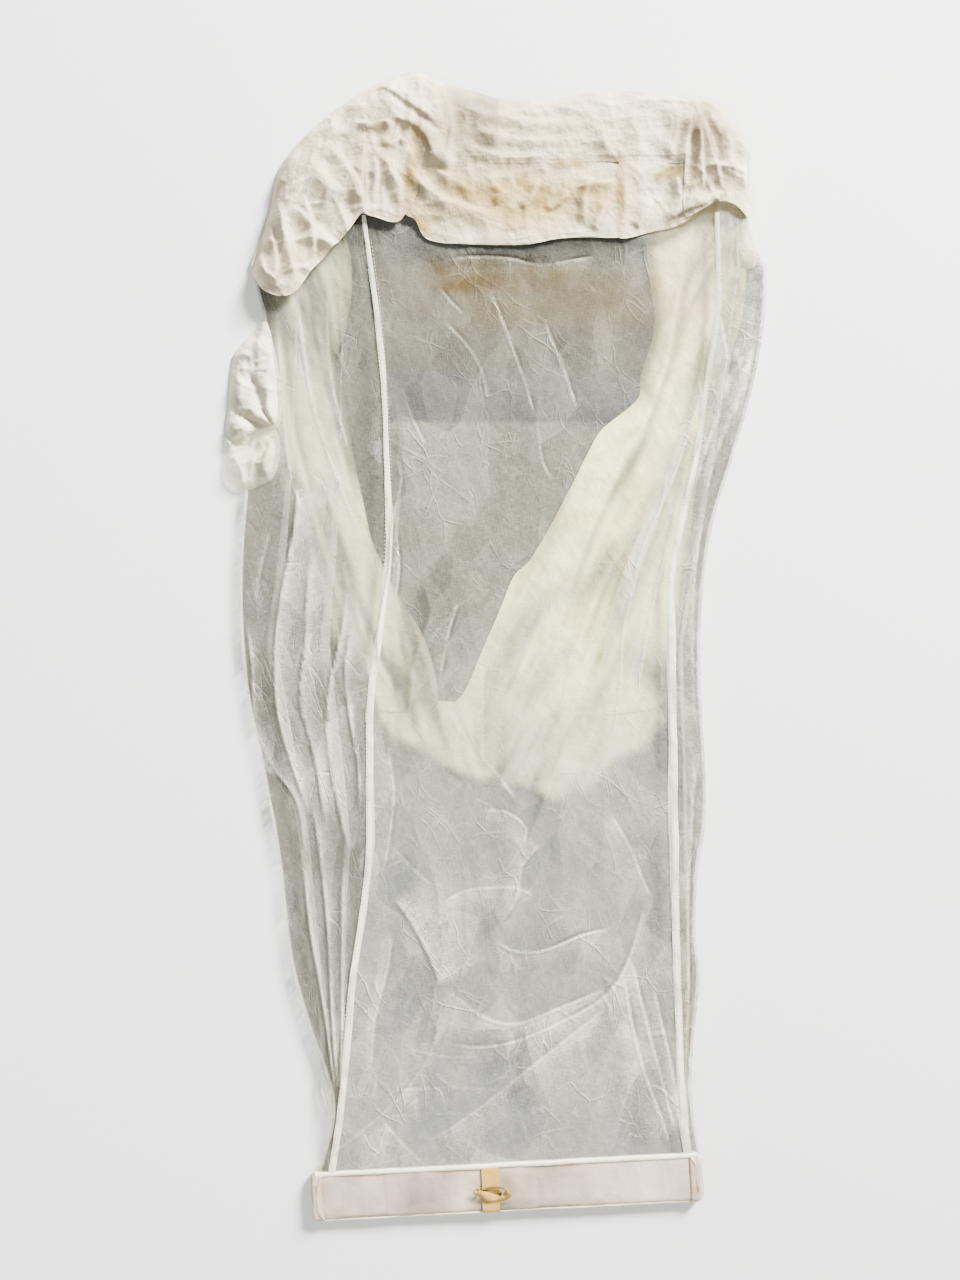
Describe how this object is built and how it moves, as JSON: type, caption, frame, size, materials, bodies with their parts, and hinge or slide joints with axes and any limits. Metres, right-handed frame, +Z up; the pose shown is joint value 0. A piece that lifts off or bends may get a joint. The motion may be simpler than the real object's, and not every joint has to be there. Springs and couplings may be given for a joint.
{
  "type": "beekeeping suit",
  "caption": "Long sheer gauze shroud laid flat, with an opaque cotton yoke, inner lining, taped seams and a cloth-covered batten with a hanging loop across the foot.",
  "frame": {"origin": "on the surface the suit lies on, under the middle of its outline", "axes": "+Y along the suit from the batten to the yoke, +X across it, +Z up from the surface; front of the suit facing up"},
  "size_m": [0.8463, 1.7885, 0.042],
  "materials": {
    "gauze": "sheer open-weave cotton gauze, aged",
    "calico": "opaque plain-weave cotton, creased",
    "aged_calico": "opaque cotton with age stains",
    "tape": "narrow cotton tape, stitched flat",
    "sleeve_cloth": "closely woven cotton cover",
    "stained_tape": "cotton tape browned with age",
    "wood": "plain sawn softwood"
  },
  "bodies": {
    "suit": {"front_gauze": "gauze", "back_gauze": "gauze", "left_side_gauze": "gauze", "right_side_gauze": "gauze", "left_front_tape": "tape", "right_front_tape": "tape", "left_back_tape": "tape", "right_back_tape": "tape", "lining_left": "calico", "lining_right": "calico", "lining_lower": "calico", "back_yoke": "calico", "left_shoulder": "calico", "right_shoulder": "calico", "yoke_side_panel": "calico", "yoke_top_panel": "calico", "right_side_fold": "calico"},
    "batten": {"batten_board": "wood", "sleeve_front": "sleeve_cloth", "sleeve_back": "sleeve_cloth", "sleeve_head_edge": "sleeve_cloth", "sleeve_foot_edge": "sleeve_cloth", "sleeve_left_end": "sleeve_cloth", "sleeve_right_end": "sleeve_cloth", "back_gauze_tail": "gauze", "hanging_tape": "stained_tape"},
    "loop": {"hanging_loop": "stained_tape"},
    "front_flap": {"yoke_front_panel": "aged_calico"},
    "side_fold": {"left_side_fold": "calico", "left_side_fold_gauze": "gauze"}
  },
  "joints": [
    {"name": "batten_fold", "type": "hinge", "parent": "suit", "child": "batten", "pos_m": [0.016, -0.7995, 0.026], "axis": [-0.9986, -0.0523, 0], "range_deg": [0, 145]},
    {"name": "loop_lift", "type": "hinge", "parent": "batten", "child": "loop", "pos_m": [0.004, -0.8335, 0.0185], "axis": [-0.9816, -0.1908, 0], "range_deg": [0, 80]},
    {"name": "front_flap_lift", "type": "hinge", "parent": "suit", "child": "front_flap", "pos_m": [0.03, 0.747, 0.032], "axis": [-1, 0, 0], "range_deg": [0, 150]},
    {"name": "side_fold_turn", "type": "hinge", "parent": "suit", "child": "side_fold", "pos_m": [-0.3735, 0.41, 0.024], "axis": [0.1189, 0.9929, 0], "range_deg": [0, 160]}
  ]
}
